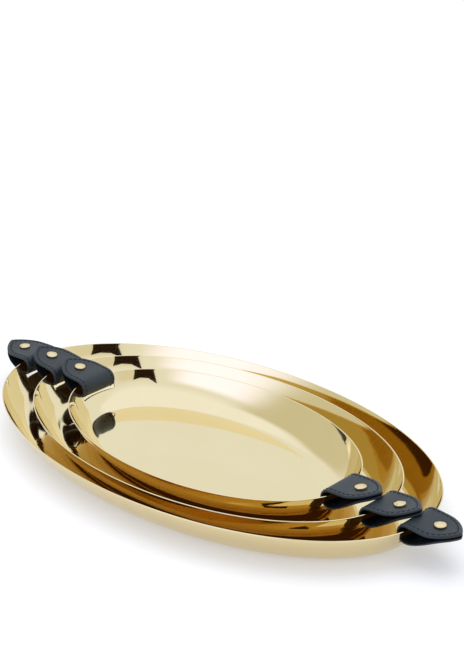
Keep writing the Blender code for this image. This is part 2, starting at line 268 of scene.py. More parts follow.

# %% [markdown]
# ## The dishes
# The underside, the outside, the ground edge, the inside and the floor of a tray are one
# grid: rows from the middle of the underside up to the rim and down again to the middle of
# the floor, columns round the oval. Two skins and a solidify step would be shorter, but one
# closed grid keeps its rows where the slots need them and mirrors without a flaw. Each
# point also says how much painted shade it gets, a deeper gold for the darker light that
# the outsides mirror: none inside, a little on the large tray's open outside, and more on
# the outsides that sit in the next tray, most near their foot.

# %% Dishes
FLOOR_RINGS = 4                  # rings of points on each side of the flat floor
RIM_ROUND = 0.35 * SHEET         # height of the ground edge
# Shares of painted shade on the outsides: the large tray, the nested trays, and the extra at the
# foot.
PAINTED_SHADE_OPEN, PAINTED_SHADE_NESTED, PAINTED_SHADE_FOOT = 0.225, 0.5, 0.35   # the last is added at the foot
FOOT_FROM, FOOT_TO = 10.0 * MM, 16.0 * MM   # below the rim


def painted_outside_shade(tray, height, down):
    """Painted shade for each row of the underside and of the outside, by its depth down.

    One value for the large tray, and for the others one that eases up towards the foot.
    """
    down = np.concatenate([np.full(FLOOR_RINGS, height), down])
    if tray == "large":
        return np.full_like(down, PAINTED_SHADE_OPEN)
    return PAINTED_SHADE_NESTED + PAINTED_SHADE_FOOT * ease((down - FOOT_FROM) / (FOOT_TO - FOOT_FROM))


def make_dish(tray):
    """Outer skin, rounded rim and inner skin of one tray as a single closed grid."""
    half_x, half_y, base, rim = TRAYS[tray]
    height = rim - base
    slope = math.radians(RIM_SLOPE[tray])
    outer_in, outer_down = wall_rows(height, slope, 0.0)
    inner_in, inner_down = wall_rows(height, slope, SHEET)
    over = np.linspace(0.0, math.pi, 9)[1:-1]
    edge_in = inner_in[-1] / 2 * (1.0 - np.cos(over))
    inset = np.concatenate([outer_in, edge_in, inner_in[::-1]])
    level = np.concatenate([-outer_down, RIM_ROUND * np.sin(over), -inner_down[::-1]])
    level = rim - RIM_ROUND + level * (height - RIM_ROUND) / height
    x, y = oval(half_x, half_y, inset[:, None], turns(half_x, half_y)[None, :])
    wall = np.stack([x, y, np.broadcast_to(level[:, None], x.shape)], axis=-1)
    # The floor: the first and last ring drawn in to the middle, both lying flat.
    drawn = np.linspace(0.0, 1.0, FLOOR_RINGS, endpoint=False)[:, None, None]
    floor_low, floor_high = wall[:1].repeat(FLOOR_RINGS, 0), wall[-1:].repeat(FLOOR_RINGS, 0)
    floor_low[..., :2] *= drawn
    floor_high[..., :2] *= drawn[::-1]
    points = np.concatenate([floor_low, wall, floor_high])
    rows, cols = points.shape[:2]
    first = FLOOR_RINGS + BELOW_SLOT
    last = FLOOR_RINGS + len(inset) - 1 - BELOW_SLOT
    quads = grid_quads(rows, cols, wrap_cols=True, keep=~slot_gap(rows, cols, first, last))
    faces = np.concatenate([quads, slot_walls(cols, first, last)])
    # Painted shade: the outer rows get a share that tints them to a deeper gold, the inside none.
    outside = np.zeros((rows, cols))
    outside[:FLOOR_RINGS + len(outer_down)] = painted_outside_shade(tray, height, outer_down)[:, None]
    return make_piece(f"{tray}_dish", points.reshape(-1, 3), faces, f"{tray}_tray",
                      [f"{tray}_tray_dish"], {"outside": outside})


DISHES = {tray: make_dish(tray) for tray in TRAYS}

# %% [markdown]
# ## The line that a strap follows
# Seen from the side, a loop is one line: from the tip of the upper leaf back to the
# pivot, half round the strip of brass, and forward again as the lower leaf, which bows
# away and then comes up to meet the upper one near the rivet. We keep distances from the
# pivot, `p` outward and `q` up, and walk along the line by its own length. The edges of
# the lower leaf close later than its middle, which gives the soft open pocket under the
# loop, so the line also carries how far its edges hang.

# %% Strap line
LEAF_STEPS = 400                 # points along each leaf


def upper_level(p):
    """Height of the upper leaf's middle: eased down to the rivet, then up by a square."""
    past = np.clip((p - RIVET_REACH) / (REACH - RIVET_REACH), 0.0, 1.0)
    return FOLD_MID - FOLD_DROP - LEAF_DIP * ease(p / RIVET_REACH) + TIP_RISE * past ** 2


def lower_level(p, close):
    """Height of the lower leaf: eased from the bottom of the fold to the upper leaf at close."""
    return upper_level(p) - LEAF_STEP - (2 * FOLD_MID - LEAF_STEP) * (1 - ease(p / close))


def strap_line():
    """Arrays p, q and edge hang: the upper leaf, half a circle, and the lower leaf."""
    out = np.linspace(REACH, 0.0, LEAF_STEPS)
    bend = np.linspace(0.0, math.pi, LEAF_STEPS)[1:-1]
    p = np.concatenate([out, -FOLD_MID * np.sin(bend), out[::-1]])
    q = np.concatenate([upper_level(out), FOLD_MID * np.cos(bend) - FOLD_DROP,
                        lower_level(out[::-1], CLOSE_MID)])
    hang = lower_level(out[::-1], CLOSE_MID) - lower_level(out[::-1], CLOSE_EDGE)
    return p, q, np.concatenate([np.zeros(2 * LEAF_STEPS - 2), hang])


LINE_P, LINE_Q, LINE_HANG = strap_line()
LINE_S = np.concatenate([[0.0], np.cumsum(np.hypot(np.diff(LINE_P), np.diff(LINE_Q)))])
FOLD_START, FOLD_END = LINE_S[LEAF_STEPS - 1], LINE_S[-LEAF_STEPS]
print(f"strap length {1000 * LINE_S[-1]:.1f} mm, fold {1000 * (FOLD_END - FOLD_START):.1f} mm")

# %% [markdown]
# ## The outline of a strap
# A steel rule die cuts the real strap: straight sides and a pointed arch at both ends.
# Everything near the edge runs beside that outline: the seam, the bead, the turned hem. So
# we compute the outline moved in by any inset, always with as many stations, and can join
# one inset to the next station by station. `on_strap` then takes a place on the flat strap
# to its place on the folded one.

# %% Outline and surface of a strap
TIP_PULL = 1.2                   # the tip moves in by more than the sides do
TIP_LEAST = 2.0 * MM             # least half width that the sag is shared over
PROBE = 0.2 * MM                 # step for measuring directions on the surface


def half_width(p):
    """Half the width of the strap at distance p from the pivot.

    Full, and then a power of 1 - x^2, where x goes from 0 to 1 along the pointed end.
    """
    x = np.clip((p - (REACH - TAPER)) / TAPER, 0.0, 1.0)
    return STRAP_HALF * (1.0 - x * x) ** TAPER_POWER


def skin(s, v):
    """Points of the middle skin at length s along the strap and v across it.

    The edges hang by the square of v as a share of the half width.
    """
    p = np.interp(s, LINE_S, LINE_P)
    q = np.interp(s, LINE_S, LINE_Q)
    across = np.clip(v / np.maximum(half_width(p), TIP_LEAST), -1.0, 1.0)
    q = q - np.interp(s, LINE_S, LINE_HANG) * across ** 2
    return np.stack([p, v, q], axis=-1)


def on_strap(s, v, n):
    """Points at length s along the strap, v across it and n out from its middle skin.

    The way out is the cross product of two short steps on that skin.
    """
    along = skin(s + PROBE, v) - skin(s - PROBE, v)
    sideways = skin(s, v + PROBE) - skin(s, v - PROBE)
    normal = np.cross(sideways, along)
    normal /= np.maximum(np.linalg.norm(normal, axis=-1, keepdims=True), 1e-12)
    return skin(s, v) + n[..., None] * normal


def outline(inset, taper=40, straight=20, fold=28):
    """Length along and half width of the strap's outline moved in by inset.

    The stations run from the upper tip to the lower tip and are the same in number for
    every inset: so many on each taper, on each straight part and on the fold.
    """
    start, tip = REACH - TAPER, REACH - TIP_PULL * inset
    x = np.sin(np.linspace(math.pi / 2, 0.0, taper, endpoint=False))
    p = np.concatenate([start + (tip - start) * x,
                        np.linspace(start, 0.0, straight, endpoint=False)])
    wide = np.concatenate([(1.0 - x * x) ** TAPER_POWER, np.ones(straight)])
    upper = np.interp(p, LINE_P[:LEAF_STEPS][::-1], LINE_S[:LEAF_STEPS][::-1])
    lower = np.interp(p[::-1], LINE_P[-LEAF_STEPS:], LINE_S[-LEAF_STEPS:])
    bend = np.linspace(FOLD_START, FOLD_END, fold)
    wide = np.concatenate([wide, np.ones(fold), wide[::-1]]) * (STRAP_HALF - inset)
    return np.concatenate([upper, bend, lower]), wide


print("stations along a strap:", len(outline(0.0)[0]))

# %% [markdown]
# ## The two plies in section
# A maker cuts the loop from two plies. The outer ply is a little larger, and its edge is
# turned over the lining's edge and glued down, so what you see is one thick rounded bead
# all the way round. We build each ply as a loop of points across the strap, repeated along
# it. Each point of that loop is given by how far inside the outline it lies and how high
# over the middle skin: over the flat, down into the shallow groove that the seam pulls,
# round the bead, and back under as the turned hem. Near the pointed end the insets shrink
# the outline as a whole, so the bead and the groove follow the point.

# %% Sections of strap and lining
HALF_THICK = THICK / 2
FLAT_IN, FLAT_SHARE = 4.5 * MM, 0.96   # inset of the flat face, and how much of it is flat
GROOVE, GROOVE_HALF = 3.1 * MM, 1.1 * MM   # inset of the seam, half the groove's width
GROOVE_DEEP = 0.28 * MM
BEAD_IN = 1.7 * MM               # inset where the groove gives way to the bead
HEM_FROM, HEM = 2.4 * MM, 3.5 * MM   # the turned edge lies flat between these insets
LINING_IN = 3.7 * MM
SOFT_EDGE = 0.2 * MM             # rounding of cut edges


def outer_section():
    """Half section of the outer ply, from the middle of its face round to its back.

    The groove dips by a cosine squared, and the bead is half a circle.
    """
    top = [(FLAT_IN, share, HALF_THICK) for share in np.linspace(0.0, FLAT_SHARE, 17)]
    inset = np.linspace(FLAT_IN, BEAD_IN, 11)
    dip = np.cos(np.clip((inset - GROOVE) / GROOVE_HALF, -1, 1) * math.pi / 2) ** 2
    groove = [(i, 1.0, HALF_THICK - GROOVE_DEEP * d) for i, d in zip(inset, dip)]
    turn = np.linspace(0.0, math.pi, 13)
    bead = [(HALF_THICK * (1 - math.sin(t)), 1.0, HALF_THICK * math.cos(t)) for t in turn]
    back = HALF_THICK - PLY
    hem = [(HEM_FROM, 1.0, -HALF_THICK), (HEM - SOFT_EDGE, 1.0, -HALF_THICK),
           (HEM, 1.0, -HALF_THICK + SOFT_EDGE), (HEM, 1.0, back - SOFT_EDGE / 2),
           (HEM + SOFT_EDGE, 1.0, back)]
    return top + groove + bead + hem + [(FLAT_IN, share, back) for share in (0.8, 0.4, 0.0)]


def lining_section():
    """Half section of the lining, which lies inside the turned hem."""
    low, high = -HALF_THICK, -HALF_THICK + PLY
    face = [(FLAT_IN, share, low) for share in (0.0, 0.3, 0.6, 0.9)]
    edge = [(LINING_IN + SOFT_EDGE, 1.0, low), (LINING_IN, 1.0, low + SOFT_EDGE),
            (LINING_IN, 1.0, high - SOFT_EDGE), (LINING_IN + SOFT_EDGE, 1.0, high)]
    return face + edge + [(FLAT_IN, share, high) for share in (0.8, 0.4, 0.0)]


print("points in half a section:", len(outer_section()), "and", len(lining_section()))

# %% [markdown]
# ## Straps and linings
# On the real loop the rivet's two heads press the leather in, which makes the small dished
# ring round them. All six loops are cut and folded alike. So we compute one strap and one
# lining in the loop's own measures and place copies: tilted about the pivot, then turned
# half round for the left end. Each point keeps how far it lies on the flesh side, where the
# finish later on paints shade.

# %% Straps and linings
DIMPLE, DIMPLE_RADIUS = 0.6 * MM, 5.8 * MM   # leather pressed in round the rivet
FLESH_RATE = 1.4                 # over 1: full flesh side before the lower face


def strap_loop(section):
    """Closed grid of points from a half section of (inset, share of width, height) rows.

    The heights over the middle skin come back too, as they tell face from flesh side.
    """
    s, v, n = [], [], []
    for inset, share, height in section:
        along, wide = outline(inset)
        s.append(along)
        v.append(wide * share)
        n.append(np.full_like(along, height))
    s, v, n = (np.array(rows) for rows in (s, v, n))
    # The rivet's heads press the leather in by exp(-d^4), d being the way from its axis.
    far = np.hypot(np.interp(s, LINE_S, LINE_P) - RIVET_REACH, v) / DIMPLE_RADIUS
    n = n - np.where(n > HALF_THICK / 2, DIMPLE * np.exp(-far ** 4), 0.0)
    # The other half is the same loop walked back with the sides exchanged.
    s = np.concatenate([s, s[-2:0:-1]])
    v = np.concatenate([v, -v[-2:0:-1]])
    n = np.concatenate([n, n[-2:0:-1]])
    return on_strap(s, v, n), n


def place(points, tray, side, out, up):
    """Points from a loop's own p, v, q to the nest: tilt, then a half turn for the left."""
    tilt = math.radians(TILT[tray])
    p, v, q = points[..., 0], points[..., 1], points[..., 2]
    x = out + p * math.cos(tilt) - q * math.sin(tilt)
    z = up + p * math.sin(tilt) + q * math.cos(tilt)
    sign = 1.0 if side == "right" else -1.0
    return np.stack([sign * x, sign * v, z], axis=-1)


STRAP = strap_loop(outer_section())
LINING = strap_loop(lining_section())
LEATHER, LININGS = [], []
for tray, side, out, up in HANDLES:
    body, node = f"{tray}_{side}_handle", f"{tray}_{side}_leather"
    for (shape, height), kind, slot, made in ((STRAP, "strap", "navy_leather", LEATHER),
                                              (LINING, "lining", "navy_lining", LININGS)):
        points = place(shape, tray, side, out, up).reshape(-1, 3)
        faces = grid_quads(*shape.shape[:2], wrap_rows=True)
        # How far each point lies on the flesh side, where the near-black painted shade goes.
        flesh = ease(-FLESH_RATE * height / HALF_THICK)
        made.append(make_piece(f"{tray}_{side}_{kind}", points, faces, body,
                               [f"{node}_{kind}"], {"flesh": flesh}))

# %% [markdown]
# ## The seam
# A waxed thread runs round each strap about three millimetres inside the edge. Each
# stitch is a short piece of tube that comes out of one hole and dips into the next, so
# its middle stands proud of the groove and its ends are under the leather. We walk round
# the outline by length, and compute all the stitches of a seam as one array: stitch, step
# along the stitch, step round the thread.

# %% Stitches
STITCH, STITCH_GAP = 2.9 * MM, 1.0 * MM
STITCH_RISE, STITCH_DIP = 0.34 * MM, 0.5 * MM   # middle over the groove, ends below that
THREAD = 0.36 * MM               # radius
NUDGE = 0.1 * MM                 # step for measuring directions along a stitch


def seam(steps=9, sides=8):
    """Points of every stitch of one strap: stitch, step along it, step round the thread.

    The ends of a stitch dip by a fourth power, and the thread thins to nothing there.
    """
    s, wide = outline(GROOVE)
    s = np.concatenate([s, s[-2:0:-1]])
    v = np.concatenate([wide, -wide[-2:0:-1]])
    s, v = np.append(s, s[0]), np.append(v, v[0])
    path = on_strap(s, v, np.full_like(s, HALF_THICK))
    walk = np.concatenate([[0.0], np.cumsum(np.linalg.norm(np.diff(path, axis=0), axis=1))])
    count = int(round(walk[-1] / (STITCH + STITCH_GAP)))
    middle = (np.arange(count) + 0.5) * walk[-1] / count
    u = np.linspace(-0.5, 0.5, steps)

    def at(shift, lift):
        """Middle line of the stitches, moved along the seam and out from the leather."""
        where = (middle[:, None] + u[None, :] * STITCH + shift) % walk[-1]
        rise = STITCH_RISE - STITCH_DIP * (2.0 * u) ** 4 - GROOVE_DEEP + lift
        return on_strap(np.interp(where, walk, s), np.interp(where, walk, v),
                        HALF_THICK + np.broadcast_to(rise, where.shape))
    centre = at(0.0, 0.0)
    ahead = at(NUDGE / 2, 0.0) - at(-NUDGE / 2, 0.0)
    ahead /= np.linalg.norm(ahead, axis=-1, keepdims=True)
    upward = at(0.0, NUDGE) - centre
    upward /= np.linalg.norm(upward, axis=-1, keepdims=True)
    aside = np.cross(ahead, upward)
    angle = np.linspace(0.0, 2 * math.pi, sides, endpoint=False)
    thin = THREAD * np.sqrt(np.clip(1.0 - (2.0 * u) ** 6, 0.0, 1.0))
    thin = thin[None, :, None, None]
    ring = (np.cos(angle)[:, None] * aside[:, :, None, :]
            + np.sin(angle)[:, None] * upward[:, :, None, :])
    return centre[:, :, None, :] + thin * ring


SEAM = seam()
SEAMS = []
for tray, side, out, up in HANDLES:
    stitches, steps, sides = SEAM.shape[:3]
    quads = grid_quads(steps, sides, wrap_cols=True)
    faces = (np.arange(stitches)[:, None, None] * steps * sides + quads).reshape(-1, 4)
    points = place(SEAM, tray, side, out, up).reshape(-1, 3)
    SEAMS.append(make_piece(f"{tray}_{side}_seam", points, faces, f"{tray}_{side}_handle"))
print("stitches in a seam:", SEAM.shape[0])

# %% [markdown]
# ## The rivets
# Each loop is closed by a double-cap rivet: a domed head with a tube on top, and a post
# with a smaller back plate below. Both heads are round, so we sweep a short section of
# (radius, height) points about the axis. The sheet of a head is drawn in under its edge,
# which leaves the dark ring between brass and leather, and the small radius on top of the
# edge catches the light as on tumbled brass.

# %% Rivet heads
CAP_SEAT, BACK_SEAT = 5.65 * MM, 1.10 * MM   # heights over the pivot
CAP_EDGE, CAP_DOME, CAP_BEVEL = 1.9 * MM, 1.2 * MM, 0.4 * MM
BACK_EDGE, BACK_DOME, BACK_BEVEL = 1.4 * MM, 0.3 * MM, 0.3 * MM
UNDERCUT = 0.8 * MM              # how far a head is drawn in where it meets the leather


def turned(section, sides=48):
    """Sweep of (radius, height) points round the rivet's axis, as rows of points."""
    section = np.array(section)
    angle = np.linspace(0.0, 2 * math.pi, sides, endpoint=False)
    p = RIVET_REACH + section[:, :1] * np.cos(angle)
    v = section[:, :1] * np.sin(angle)
    return np.stack([p, v, np.broadcast_to(section[:, 1:], p.shape)], axis=-1)


def head(radius, seat, edge, dome, bevel, way):
    """Section of one head: flat seat, edge drawn in under, rounded rim, shallow dome.

    The rim is a quarter circle, and the dome falls by the square of the radius. way is +1
    for a head that faces up and -1 for one that faces down.
    """
    turn = np.linspace(0.0, math.pi / 2, 7)
    shoulder = [(radius - bevel * (1 - math.cos(t)), edge - bevel * (1 - math.sin(t)))
                for t in turn]
    reach = radius - bevel
    crown = [(reach * r, edge + dome * (1 - r * r)) for r in np.linspace(0.9, 0.0, 10)]
    foot = [(0.0, 0.0), (radius - UNDERCUT, 0.0), (radius - 0.3 * UNDERCUT, 0.3 * UNDERCUT),
            (radius, UNDERCUT)]
    return [(r, seat + way * h) for r, h in foot + shoulder + crown]


CAP = turned(head(CAP_RADIUS, CAP_SEAT, CAP_EDGE, CAP_DOME, CAP_BEVEL, 1))
BACK = turned(head(BACK_RADIUS, BACK_SEAT, BACK_EDGE, BACK_DOME, BACK_BEVEL, -1))
RIVETS = []
for tray, side, out, up in HANDLES:
    for shape, kind, node in ((CAP, "head", "rivet_cap"), (BACK, "back", "rivet_post")):
        points = place(shape, tray, side, out, up).reshape(-1, 3)
        faces = grid_quads(*shape.shape[:2], wrap_cols=True)
        RIVETS.append(make_piece(f"{tray}_{side}_rivet_{kind}", points, faces,
                                 f"{tray}_{side}_handle",
                                 [f"{tray}_{side}_{node}"]))

# %% [markdown]
# ## Writing materials as sums
# A shader is easier to read as a sum than as a net of wires. The small class below wraps
# one socket, so that `a * 2 + b` adds the two maths nodes for us. Any other node comes
# from one method, with its settings first and then its sockets.

# %% Shader helper
class Wire:
    """One output socket of a material's nodes, with the arithmetic that nodes can do."""

    def __init__(self, tree, socket):
        self.tree, self.socket = tree, socket

    def node(self, kind, settings=None, out=0, **sockets):
        """Adds a node of this kind and returns one of its outputs.

        Sockets go by name, with _ for a space, or by number, as i0, i1 and so on.
        """
        made = self.tree.nodes.new(kind)
        for key, value in (settings or {}).items():
            setattr(made, key, value)
        for key, value in sockets.items():
            numbered = key[0] == "i" and key[1:].isdigit()
            slot = made.inputs[int(key[1:]) if numbered else key.replace("_", " ")]
            if isinstance(value, Wire):
                self.tree.links.new(value.socket, slot)
            else:
                slot.default_value = value
        return Wire(self.tree, made.outputs[out])

    def maths(self, operation, other):
        """Adds a maths node between this wire and another wire or number."""
        return self.node("ShaderNodeMath", {"operation": operation}, i0=self, i1=other)

    def __add__(self, other):
        return self.maths("ADD", other)

    def __sub__(self, other):
        return self.maths("SUBTRACT", other)

    def __mul__(self, other):
        return self.maths("MULTIPLY", other)

    def __pow__(self, other):
        return self.maths("POWER", other)

    def __rsub__(self, other):
        return self * -1.0 + other

    __radd__ = __add__
    __rmul__ = __mul__

    def between(self, low, high):
        """0 at low, 1 at high, smooth in between."""
        return self.node("ShaderNodeMapRange", {"interpolation_type": "SMOOTHSTEP"},
                         i0=self, i1=low, i2=high, i3=0.0, i4=1.0)

    def tint(self, first, second):
        """Colour that goes from first to second as this value goes from 0 to 1."""
        return self.node("ShaderNodeMix", {"data_type": "RGBA"}, out=2, i0=self,
                         i6=first if isinstance(first, Wire) else (*first, 1.0),
                         i7=second if isinstance(second, Wire) else (*second, 1.0))


print("a wire can write:", [name for name in vars(Wire) if not name.startswith("_")])

# %% [markdown]
# ## Starting a finish
# Every finish begins alike: a principled shader with its plain values set on its own
# sockets, and the object coordinates that patterns grow on. Object coordinates stay with a
# piece when it moves, so the grain does not swim in a pose. Where a real surface has two
# sides, as leather has, a second shader is mixed in.

# %% Material helpers
def set_plain(shader, values):
    """Sets constant values on a shader's own sockets by name."""
    for key, value in values.items():
        shader.inputs[key.replace("_", " ")].default_value = value


def material(name, **values):
    """New material: returns it, its principled shader and a Wire of object coordinates."""
    made = bpy.data.materials.new(name)
    made.use_nodes = True
    shader = made.node_tree.nodes["Principled BSDF"]
    set_plain(shader, values)
    where = made.node_tree.nodes.new("ShaderNodeTexCoord")
    return made, shader, Wire(made.node_tree, where.outputs["Object"])


def feed(shader, **wires):
    """Links wires to the shader's sockets by name."""
    for key, wire in wires.items():
        wire.tree.links.new(wire.socket, shader.inputs[key.replace("_", " ")])


def second_finish(made, shader, share, **values):
    """Adds another principled shader to a material, shown where share goes to 1."""
    tree = made.node_tree
    other = tree.nodes.new("ShaderNodeBsdfPrincipled")
    set_plain(other, values)
    mix = tree.nodes.new("ShaderNodeMixShader")
    tree.links.new(share.socket, mix.inputs[0])
    tree.links.new(shader.outputs[0], mix.inputs[1])
    tree.links.new(other.outputs[0], mix.inputs[2])
    tree.links.new(mix.outputs[0], tree.nodes["Material Output"].inputs[0])
    return other


def noise(where, scale, detail=2.0, rough=0.5):
    """Soft noise from 0 to 1 at a number of grains for each metre."""
    return where.node("ShaderNodeTexNoise", Vector=where, Scale=scale, Detail=detail,
                      Roughness=rough)


def bump(height, strength, distance):
    """Normal from a height in shares of distance."""
    return height.node("ShaderNodeBump", Height=height, Strength=strength, Distance=distance)


print("finishes so far:", len(bpy.data.materials))

# %% [markdown]
# ## Polished brass
# Brass is copper and zinc: a pale gold that mirrors its surroundings. Its colour shows
# once where it mirrors the white room and again and again between the close walls, which
# is why the gaps glow orange. A hand polish is never a perfect mirror, so the sheet has
# slow waves, a faint haze of fine polishing lines and a few cloudy patches.
#
# The deeper gold on the outsides is painted shade. The dishes carry an attribute that says
# how much shade is painted at a place, and the colour goes from the pale inside to a deeper
# gold on the outside, deepest near the foot of a tray that sits in another, where the gaps
# between the trays are darkest. The rivets are tumbled in a drum, so their waves are much
# closer together.
#
# In the narrow gaps light goes to and fro more often than a renderer follows it. A faint
# warm glow, far below what one sees on an open surface, stands for that last light, so the
# gaps don't turn black.

# %% Brass
GAP_GLOW = (0.009, 0.0028, 0.0002, 1.0)
# Painted shade: the deeper golds that the outsides and their foot are tinted towards.
PAINTED_SHADE_GOLD, PAINTED_FOOT_SHADE_GOLD = (0.68, 0.51, 0.20), (0.42, 0.24, 0.06)


def make_brass(name, base, deep, haze, waves):
    """Polished brass between two close tints.

    haze is its least roughness, and waves the number of slow waves in a metre of sheet.
    """
    made, shader, where = material(name, Metallic=1.0, Emission_Strength=1.0,
                                   Emission_Color=GAP_GLOW)
    outside = where.node("ShaderNodeAttribute", {"attribute_name": "outside"}, out=2)
    cloud = noise(where, scale=18.0, detail=3.0)
    stretched = where.node("ShaderNodeMapping", i0=where, Scale=(900.0, 60.0, 60.0))
    lines = noise(stretched, scale=1.0, detail=4.0, rough=0.6)
    speck = noise(where, scale=1400.0).between(0.62, 0.75)
    polished = cloud.between(0.3, 0.7).tint(base, deep)
    # Painted shade: the outside attribute tints towards a deeper gold, then a darker one at the
    # foot.
    nested = (outside * 2.0).tint(polished, PAINTED_SHADE_GOLD)
    feed(shader,
         Base_Color=(outside * 2.0 - 1.0).tint(nested, PAINTED_FOOT_SHADE_GOLD),
         Roughness=haze + cloud * 0.02 + lines * 0.03 + speck * 0.03,
         Normal=bump(noise(where, waves, detail=1.0) * 6.0 + lines * 0.004,
                     strength=0.12, distance=0.001))
    return made


SHEET_BRASS = make_brass("polished_brass_sheet", (0.88, 0.80, 0.545), (0.865, 0.78, 0.52),
                         haze=0.02, waves=9.0)
RIVET_BRASS = make_brass("polished_brass_rivet", (0.85, 0.74, 0.47), (0.81, 0.69, 0.42),
                         haze=0.05, waves=330.0)
for piece in DISHES.values():
    piece.data.materials.append(SHEET_BRASS)
for piece in RIVETS:
    piece.data.materials.append(RIVET_BRASS)
print("brass on", len(DISHES) + len(RIVETS), "pieces")

# %% [markdown]
# ## Navy leather
# The straps are smooth calf leather, dyed navy and lightly waxed. The grain is a fine net
# of creases between small pebbles, finer than a millimetre. The colour is a little lighter
# where the leather is rubbed and darker along the creases. Most of what looks pale on a
# navy strap is wax that mirrors the room, so the dye itself is written very dark. The
# flesh side, in the hem and on the lining, has no wax: it is a second, matt shader that
# the strap's own height attribute mixes in, and its near-black colour is painted shade for
# the dark inside of the loop. The thread is a darker navy with a twist.

# %% Leather and thread
# Painted shade: the near-black flesh side stands for the dark inside of the loop.
PAINTED_SHADE_SUEDE = (0.0025, 0.0035, 0.0050), (0.0060, 0.0080, 0.0110)
SHEEN_TINT = (0.55, 0.66, 0.85, 1.0)
GRAIN, WARP = 1500.0, 0.0006     # pebbles a metre, and how far their net is bent, in metres


def make_leather(name, dark, light, gloss, sheen):
    """Dyed leather with a pebble grain, in two tints. gloss is about its mean roughness."""
    made, shader, where = material(name, Sheen_Weight=sheen, Sheen_Roughness=0.45,
                                   Sheen_Tint=SHEEN_TINT)
    drift = where.node("ShaderNodeTexNoise", out=1, Vector=where, Scale=900.0, Detail=2.0)
    bent = where.node("ShaderNodeVectorMath", {"operation": "MULTIPLY_ADD"}, i0=drift,
                      i1=(WARP, WARP, WARP), i2=where)
    pebble = where.node("ShaderNodeTexVoronoi", {"feature": "DISTANCE_TO_EDGE"},
                        Vector=bent, Scale=GRAIN)
    crease = pebble.between(0.0, 0.16)
    patch = noise(where, scale=140.0, detail=3.0)
    feed(shader,
         Base_Color=(patch * 0.6 + crease * 0.4).between(0.25, 0.8).tint(dark, light),
         Roughness=gloss + patch * 0.14 - crease * 0.06,
         Normal=bump(crease * 0.6 + noise(where, scale=2600.0) * 0.3 + patch * 0.5,
                     strength=0.35, distance=0.0002))
    # Painted shade: the flesh side is mixed in as a near-black matt finish.
    flesh = where.node("ShaderNodeAttribute", {"attribute_name": "flesh"}, out=2)
    painted_shade_suede = second_finish(made, shader, flesh, Roughness=0.9, Specular_IOR_Level=0.05)
    nap = noise(where, scale=1800.0, detail=3.0)
    feed(painted_shade_suede, Base_Color=nap.between(0.3, 0.7).tint(*PAINTED_SHADE_SUEDE),
         Normal=bump(nap, strength=0.4, distance=0.0002))
    return made


def make_thread(name, dark, light):
    """Waxed thread: thin bands that lean across the thread."""
    made, shader, where = material(name, Roughness=0.6)
    twist = where.node("ShaderNodeTexWave", {"bands_direction": "DIAGONAL"}, out=1,
                       Vector=where, Scale=900.0, Distortion=2.0)
    feed(shader, Base_Color=twist.tint(dark, light),
         Normal=bump(twist, strength=0.4, distance=0.0001))
    return made


NAVY = make_leather("navy_leather", (0.005, 0.011, 0.018), (0.012, 0.025, 0.038),
                    gloss=0.40, sheen=0.05)
LINER = make_leather("navy_lining", (0.003, 0.006, 0.010), (0.008, 0.014, 0.021),
                     gloss=0.58, sheen=0.03)
THREAD_FINISH = make_thread("navy_thread", (0.008, 0.010, 0.017), (0.022, 0.027, 0.042))
for pieces, finish in ((LEATHER, NAVY), (LININGS, LINER), (SEAMS, THREAD_FINISH)):
    for piece in pieces:
        piece.data.materials.append(finish)
print("leather on", len(LEATHER) + len(LININGS), "pieces, thread on", len(SEAMS))

# %% [markdown]
# ## The floor
# The tray stands on white paper. A single white shader would either clip or look grey. So
# the paper has two. The one that lights the tray is plain paper. The one that the camera
# and the brass look at has a little white added, so that the open floor is white while the
# shadow stays.

# %% Floor
FLOOR_SIZE = 60.0                # metres, so that its edge is far off
PAPER_WHITE = 0.33               # light added to the paper that is looked at

bpy.ops.mesh.primitive_plane_add(size=FLOOR_SIZE, location=(0.0, 0.0, 0.0))
floor = bpy.context.object
floor.name = "floor"
PAPER, paper_shader, _ = material("white_paper", Base_Color=(0.70, 0.70, 0.70, 1.0),
                                  Roughness=0.9, Specular_IOR_Level=0.0)
ray = PAPER.node_tree.nodes.new("ShaderNodeLightPath")
looked_at = sum(Wire(PAPER.node_tree, ray.outputs[name]) for name in
                ("Is Camera Ray", "Is Glossy Ray", "Is Transmission Ray"))
# The looked-at paper is a little blue: painted light that takes the brass's warm cast out of the
# shadow.
second_finish(PAPER, paper_shader, looked_at, Base_Color=(0.595, 0.61, 0.65, 1.0),
              Roughness=0.9, Specular_IOR_Level=0.0,
              Emission_Color=(1.0, 1.0, 1.0, 1.0), Emission_Strength=PAPER_WHITE)
floor.data.materials.append(PAPER)
print("shaders on the paper:", sum(n.type == "BSDF_PRINCIPLED" for n in PAPER.node_tree.nodes))

# %% [markdown]
# ## The light tent
# Polished metal is hard to light, because what we see on it is the room. A photographer
# puts it in a tent of white cloth. Lamps with soft boxes would do as well, but each would
# need its own frame. Ours is the world's colour by direction: a bright top, slightly darker
# sides, two panels of unbleached cloth and a bright one in front. Panels are soft-edged
# ranges of compass angle, which a dot product gives without any picture.

# %% Tent of cloth
SIDE_CLOTH, TOP_CLOTH = (0.88, 0.88, 0.86), (1.0, 1.0, 1.04)
LEFT_PANEL, RIGHT_PANEL = (0.67, 0.63, 0.48), (0.78, 0.73, 0.60)
FRONT_PANEL = (1.25, 1.24, 1.66)

world = bpy.data.worlds.new("light_tent")
bpy.context.scene.world = world
world.use_nodes = True


